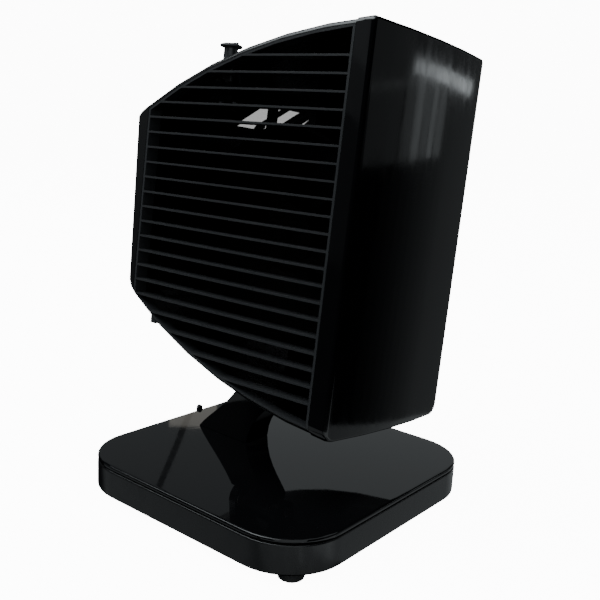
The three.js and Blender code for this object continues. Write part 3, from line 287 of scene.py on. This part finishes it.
def dress(obj, finish, rounding=0.0):
    """Gives an object its material, soft shading and, where asked, a small rounding on its sharp edges."""
    obj.data.materials.clear()
    obj.data.materials.append(MATERIALS[finish])
    weld = obj.modifiers.new("weld", "WELD")
    weld.merge_threshold = WELD_DISTANCE
    if rounding:
        bevel = obj.modifiers.new("rounding", "BEVEL")
        bevel.width = rounding
        bevel.segments = 2
        bevel.limit_method = "ANGLE"
        bevel.angle_limit = ROUND_ABOVE
        bevel.harden_normals = False
        bevel.miter_outer = "MITER_ARC"
    shading = obj.modifiers.new("shading", "NODES")
    shading.node_group = SHADING
    weighting = obj.modifiers.new("weighting", "WEIGHTED_NORMAL")
    weighting.keep_sharp = True


# pieces deep in the head, which get painted shade: a darker copy of the black plastic in place of their
# slot's finish
INNER_PAINTED_SHADE = ("impeller", "hub_nut", "duct_ring", "motor_bracket", "speed_switch", "motor_shaft")
ROUNDINGS = {"black_gloss": 0.6 * MM, "black_satin": 0.4 * MM, "black_plain": 0.3 * MM}
SLAT_ROUNDING = 0.7 * MM
COVER_ROUNDING = 0.3 * MM


def dress_cad_nodes():
    """Each CAD node gets its slot's finish, apart from those that look different in the photo."""
    slots = {row["node"]: row["material_slot"] for row in frame["record"]["subparts"]}
    for name, node in NODES.items():
        finish = slots[name]
        rounding = ROUNDINGS.get(finish, 0.0)
        # painted shade for the pieces deep in the head
        if name in INNER_PAINTED_SHADE:
            finish = "black_painted_shade"
        # painted light for the grilles and the knob: a lighter copy of black satin
        elif name.startswith("grille"):
            finish = "satin_painted_light"
            rounding = SLAT_ROUNDING
        elif name == "speed_knob":
            finish = "satin_painted_light"
        elif name == "base_cover":
            finish = "cover_gloss"
            rounding = COVER_ROUNDING
        dress(node, finish, rounding)


dress_cad_nodes()

# ---------------------------------------------------------------- pieces inside the head

# lengths in this section are in millimetres, in the head's own frame
HEAD_TILT = math.radians(5.5)
HINGE_DROP = 91
HINGE = Vector(next(joint["pos_m"] for joint in frame["joints"] if joint["name"] == "head_tilt"))


def head_point(s, d, u):
    """A place in the shared frame, in metres, for a point in the head's own frame, in millimetres.

    s runs along the head to its smooth end, d across it to the far grille and u up. The head's own
    origin is HINGE_DROP above the hinge.
    """
    rise = u + HINGE_DROP
    return Vector((
        s * MM,
        HINGE.y + (d * math.cos(HEAD_TILT) + rise * math.sin(HEAD_TILT)) * MM,
        HINGE.z + (rise * math.cos(HEAD_TILT) - d * math.sin(HEAD_TILT)) * MM,
    ))


SCREEN_D = 63.6
SCREEN_THICKNESS = 0.5
SCREEN_FOLDS = 46
FOLD_DEPTH = 0.7
# s, and the lowest and highest u there
SCREEN_STATIONS = (
    (-102, 2, 120), (-84, -14, 124), (-70, -28, 134), (-55, -38, 146), (-40, -46, 156), (-9, -60, 167),
    (20, -68, 175), (50, -76, 181), (82, -82, 186),
)
# shares of the height where the screen has points: flat at the lowest and highest, folded between them
SCREEN_ROWS = (0, 0.03, 0.5, 0.97, 1)


def screen_reach(s):
    """Lowest and highest level of the screen at a station along the head."""
    for (s0, low0, high0), (s1, low1, high1) in zip(SCREEN_STATIONS, SCREEN_STATIONS[1:]):
        if s <= s1:
            share = (s - s0) / (s1 - s0)
            return low0 + share * (low1 - low0), high0 + share * (high1 - high0)
    return SCREEN_STATIONS[-1][1:]


def screen_points():
    """The points of the near sheet and then of the far one, from the rear end to the smooth end."""
    first, last = SCREEN_STATIONS[0][0], SCREEN_STATIONS[-1][0]
    points = []
    for back in (0, SCREEN_THICKNESS):
        for i in range(SCREEN_FOLDS + 1):
            s = first + (last - first) * i / SCREEN_FOLDS
            low, high = screen_reach(s)
            fold = FOLD_DEPTH if i % 2 else -FOLD_DEPTH
            for share in SCREEN_ROWS:
                d = SCREEN_D + back + (0 if share in (0, 1) else fold)
                points.append(head_point(s, d, low + share * (high - low)))
    return points


def screen_faces():
    """Faces of both sheets, of the strips that join their top and bottom edges, and of both ends."""
    rows = len(SCREEN_ROWS)
    sheet = rows * (SCREEN_FOLDS + 1)
    faces = []
    for i in range(SCREEN_FOLDS):
        for j in range(rows - 1):
            a = i * rows + j
            faces.append((a, a + 1, a + rows + 1, a + rows))
            faces.append((sheet + a, sheet + a + rows, sheet + a + rows + 1, sheet + a + 1))
        bottom = i * rows
        top = bottom + rows - 1
        faces.append((top, sheet + top, sheet + top + rows, top + rows))
        faces.append((bottom, bottom + rows, sheet + bottom + rows, sheet + bottom))
    for i in (0, SCREEN_FOLDS):
        for j in range(rows - 1):
            a = i * rows + j
            quad = (a, sheet + a, sheet + a + 1, a + 1)
            faces.append(quad if i == 0 else quad[::-1])
    return faces


def pleated_screen():
    """A pleated dust screen inside the far grille; its folds run up and down, between flat edges."""
    screen = mesh_object("dust_screen", screen_points(), screen_faces())
    dress(screen, "screen_cloth_painted_light")
    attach(screen, "head")


FILM_D = -10
FILM_THICKNESS = 0.4
# s and u; the second to the seventh point follow the duct's ring, just above it
FILM_OUTLINE = (
    (-82, 116.2), (-52, 116.2), (-40, 122.3), (-28, 126.5), (-16, 128.9), (-4, 129.6), (8, 128.8),
    (8, 156), (-48, 156), (-62, 147), (-76, 139), (-82, 135),
)


def painted_shade_sheet():
    """A flat, nearly black see-through sheet above the duct's ring: painted shade that dims the daylight from
    the rear openings.
    """
    points = [head_point(s, d, u) for d in (FILM_D, FILM_D + FILM_THICKNESS) for s, u in FILM_OUTLINE]
    count = len(FILM_OUTLINE)
    faces = [range(count), range(2 * count - 1, count - 1, -1)]
    for i in range(count):
        j = (i + 1) % count
        faces.append((i, count + i, count + j, j))
    film = mesh_object("painted_shade_sheet", points, faces)
    dress(film, "painted_shade_film")
    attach(film, "head")


pleated_screen()
painted_shade_sheet()

# ---------------------------------------------------------------- floor and world

# the camera sees both, as white, and what is mirrored or lit sees neither
WHITE = (1, 1, 1, 1)
WHITE_LEVEL = 12
FLOOR_RADIUS = 6.0
FLOOR_SIDES = 64


def make_floor():
    """A round white floor that the fan stands on."""
    material, _, _, shader = new_material("floor", (0.86, 0.86, 0.86), 0.9)
    shader.inputs["Emission Color"].default_value = WHITE
    shader.inputs["Emission Strength"].default_value = WHITE_LEVEL
    turns = [math.tau * i / FLOOR_SIDES for i in range(FLOOR_SIDES)]
    ring = [(FLOOR_RADIUS * math.cos(turn), FLOOR_RADIUS * math.sin(turn), 0) for turn in turns]
    floor = mesh_object("floor", ring, [range(FLOOR_SIDES)])
    floor.data.materials.append(material)
    floor.visible_glossy = False
    floor.visible_diffuse = False


def make_world():
    """A white world."""
    world = bpy.data.worlds.new("studio")
    world.use_nodes = True
    background = world.node_tree.nodes["Background"]
    background.inputs["Color"].default_value = WHITE
    background.inputs["Strength"].default_value = WHITE_LEVEL
    world.cycles_visibility.glossy = False
    world.cycles_visibility.diffuse = False
    bpy.context.scene.world = world


# ---------------------------------------------------------------- kinds of light

# azimuths, elevations and rolls are in degrees; places, distances, levels and sizes are in metres
MIDDLE = (0.05, 0, 0.2)
SMOOTH_END = (0.108, 0.03, 0.35)
COOL = (0.9, 0.97, 1.0)
WARM = (1.0, 0.95, 0.85)
WALL_AZIMUTH = 130
WALL_DISTANCE = 4
ROOM_DISTANCE = 3
NEAR_DISTANCE = 2.6
# lights in one plane don't add up in a mirror, so those that overlap stand this far apart
NESTED_STEP = 0.02


def soft_light(name, place, target, size, radiance, roll=0, colour=COOL):
    """A rectangular light that the camera doesn't see; radiance is what a mirror would show of it."""
    ahead = (Vector(target) - Vector(place)).normalized()
    data = bpy.data.lights.new(name, "AREA")
    data.shape = "RECTANGLE"
    data.size, data.size_y = size
    data.energy = radiance * math.pi * size[0] * size[1]
    data.color = colour
    light = add_to_scene(name, data)
    light.location = place
    light.rotation_mode = "QUATERNION"
    light.rotation_quaternion = Quaternion(ahead, math.radians(roll)) @ ahead.to_track_quat("-Z", "Y")
    light.visible_camera = False


def panel_at(name, azimuth, elevation, distance, size, radiance):
    """A light in a given direction from the fan's middle, which it faces."""
    turn = math.radians(azimuth)
    rise = math.radians(elevation)
    flat = distance * math.cos(rise)
    place = (
        MIDDLE[0] + flat * math.cos(turn),
        MIDDLE[1] + flat * math.sin(turn),
        MIDDLE[2] + distance * math.sin(rise),
    )
    soft_light(name, place, MIDDLE, size, radiance)


def upright_panel(name, centre, azimuth, distance, levels, width, radiance):
    """An upright light between two levels, in a given direction from a centre, which it faces."""
    turn = math.radians(azimuth)
    bottom, top = levels
    level = (bottom + top) / 2
    place = (centre[0] + distance * math.cos(turn), centre[1] + distance * math.sin(turn), level)
    target = (centre[0], centre[1], level)
    soft_light(name, place, target, (width, top - bottom), radiance)


def on_wall(name, left, level, size, radiance, roll=0, colour=COOL, distance=WALL_DISTANCE):
    """A light on the upright wall behind the fan; left is counted from the wall's middle."""
    turn = math.radians(WALL_AZIMUTH)
    out = Vector((math.cos(turn), math.sin(turn), 0))
    place = Vector(MIDDLE) + out * distance + Vector((-out.y, out.x, 0)) * left
    place.z = level
    soft_light(name, place, place - out, size, radiance, roll, colour)


def sector(first, last, distance):
    """Middle azimuth and width of a light that reaches from the first azimuth to the last."""
    return (first + last) / 2, 2 * distance * math.tan(math.radians((last - first) / 2))


# ---------------------------------------------------------------- lights of the room

WALL_RADIANCE = 0.12
WALL_ROLL = 19.8
WALL_ELEVATION = 27


def wall_light():
    """The ceiling, and the wall behind the fan; the base's top mirrors the gap between two lights."""
    panel_at("wall_all", WALL_AZIMUTH, WALL_ELEVATION, WALL_DISTANCE, size=(4.2, 3), radiance=0.045)
    on_wall("wall_left", left=1.646, level=1.428, size=(2, 3.2), radiance=WALL_RADIANCE, roll=WALL_ROLL)
    on_wall("wall_middle", left=-0.9325, level=2.345, size=(3.4, 3.2), radiance=WALL_RADIANCE, roll=WALL_ROLL)
    panel_at(
        "wall_right", azimuth=118, elevation=WALL_ELEVATION, distance=WALL_DISTANCE + 2.5 * NESTED_STEP,
        size=(2, 3), radiance=0.18,
    )
    on_wall(
        "doorway", left=0.558, level=1.27, size=(0.28, 0.56), radiance=0.5, colour=WARM,
        distance=WALL_DISTANCE - 2 * NESTED_STEP,
    )
    soft_light("ceiling", place=(0, 0.4, 2.8), target=(0, 0.4, 0), size=(4, 4), radiance=0.6)


SIDE_WIDTH = 1.2
# name, azimuth and top of upright lights that overlap, then the bottom and radiance of each
SIDE_STEPS = (
    ("side_rear", 216, 1.5, ((-1.1, 0.035), (-0.15, 0.045), (0.15, 0.06), (0.45, 0.03))),
    ("side_front", 241, 1.8, ((-1.1, 0.01), (0.2, 0.04), (0.85, 0.1), (1.1, 0.14))),
)


def side_light():
    """Beside the near grille: steps that its frame and slats mirror, and a light below and above them."""
    for name, azimuth, top, steps in SIDE_STEPS:
        for i, (bottom, radiance) in enumerate(steps):
            distance = ROOM_DISTANCE + NESTED_STEP * i
            upright_panel(f"{name}_{i}", MIDDLE, azimuth, distance, (bottom, top), SIDE_WIDTH, radiance)
    panel_at("side_low", azimuth=228, elevation=-30, distance=ROOM_DISTANCE, size=(3, 1.2), radiance=0.3)
    panel_at("side_high", azimuth=232, elevation=55, distance=ROOM_DISTANCE, size=(3, 2.2), radiance=5)


def near_and_rear_light():
    """Low lights that the base's near corner mirrors, one behind the camera and one behind the fan."""
    panel_at("near_low", azimuth=300, elevation=-27, distance=NEAR_DISTANCE, size=(3.2, 1), radiance=0.55)
    panel_at("near_right", azimuth=3, elevation=-29, distance=NEAR_DISTANCE, size=(2.8, 0.9), radiance=0.5)
    panel_at("behind_camera", azimuth=315, elevation=20, distance=ROOM_DISTANCE, size=(3, 3.6), radiance=0.7)
    panel_at("rear_low", azimuth=142, elevation=-16, distance=ROOM_DISTANCE, size=(2.5, 1.3), radiance=0.03)


RIGHT_FIRST = 45
RIGHT_FULL = 75
RIGHT_LAST = 95
RIGHT_ELEVATION = -4
RIGHT_STEPS = 12


def right_light():
    """A dim light that the smooth end mirrors and that grows in steps up to RIGHT_FULL."""
    for i in range(RIGHT_STEPS):
        first = RIGHT_FIRST + (RIGHT_FULL - RIGHT_FIRST) * i / RIGHT_STEPS
        azimuth, width = sector(first, RIGHT_LAST, WALL_DISTANCE)
        distance = WALL_DISTANCE + NESTED_STEP * i
        panel_at(f"right_{i}", azimuth, RIGHT_ELEVATION, distance, size=(width, 3), radiance=0.0155)


CURTAIN_LEVELS = (0.17, 0.63)
# azimuth, width and radiance of each fold
CURTAIN_FOLDS = (
    (37.5, 0.42, 0.05), (44.2, 0.52, 0.16), (50, 0.22, 0.3), (53.5, 0.2, 0.7), (56.5, 0.16, 0.4),
    (59, 0.14, 0.65), (62, 0.2, 0.4),
)
LINTEL_LEVELS = (0.625, 1.575)
LINTEL_DISTANCE = 4.5
LINTEL_FIRST = 10
LINTEL_LAST = (50, 57, 64)


def window_light():
    """The slanted window edge, the curtain and the dim lintel, all mirrored high on the smooth end."""
    soft_light(
        "window", place=(2.0, 3.44, 0.607), target=SMOOTH_END, size=(1.55, 0.075), radiance=2.4, roll=6.65,
    )
    for i, (azimuth, width, radiance) in enumerate(CURTAIN_FOLDS):
        upright_panel(f"fold_{i}", SMOOTH_END, azimuth, WALL_DISTANCE, CURTAIN_LEVELS, width, radiance)
    for i, last in enumerate(LINTEL_LAST):
        azimuth, width = sector(LINTEL_FIRST, last, LINTEL_DISTANCE)
        distance = LINTEL_DISTANCE + NESTED_STEP * i
        upright_panel(f"lintel_{i}", SMOOTH_END, azimuth, distance, LINTEL_LEVELS, width, radiance=0.055)


TABLE_X = 0.1565
TABLE_Y = 0.112


def table_light():
    """A dim patch just under the floor's level at the base's right corner, which the base's wall mirrors."""
    place = (TABLE_X, TABLE_Y, -MM)
    above = (TABLE_X, TABLE_Y, 1)
    soft_light("table", place, above, size=(0.27, 0.6), radiance=0.31, roll=43.5)


wall_light()
side_light()
near_and_rear_light()
right_light()
window_light()
table_light()
make_floor()
make_world()
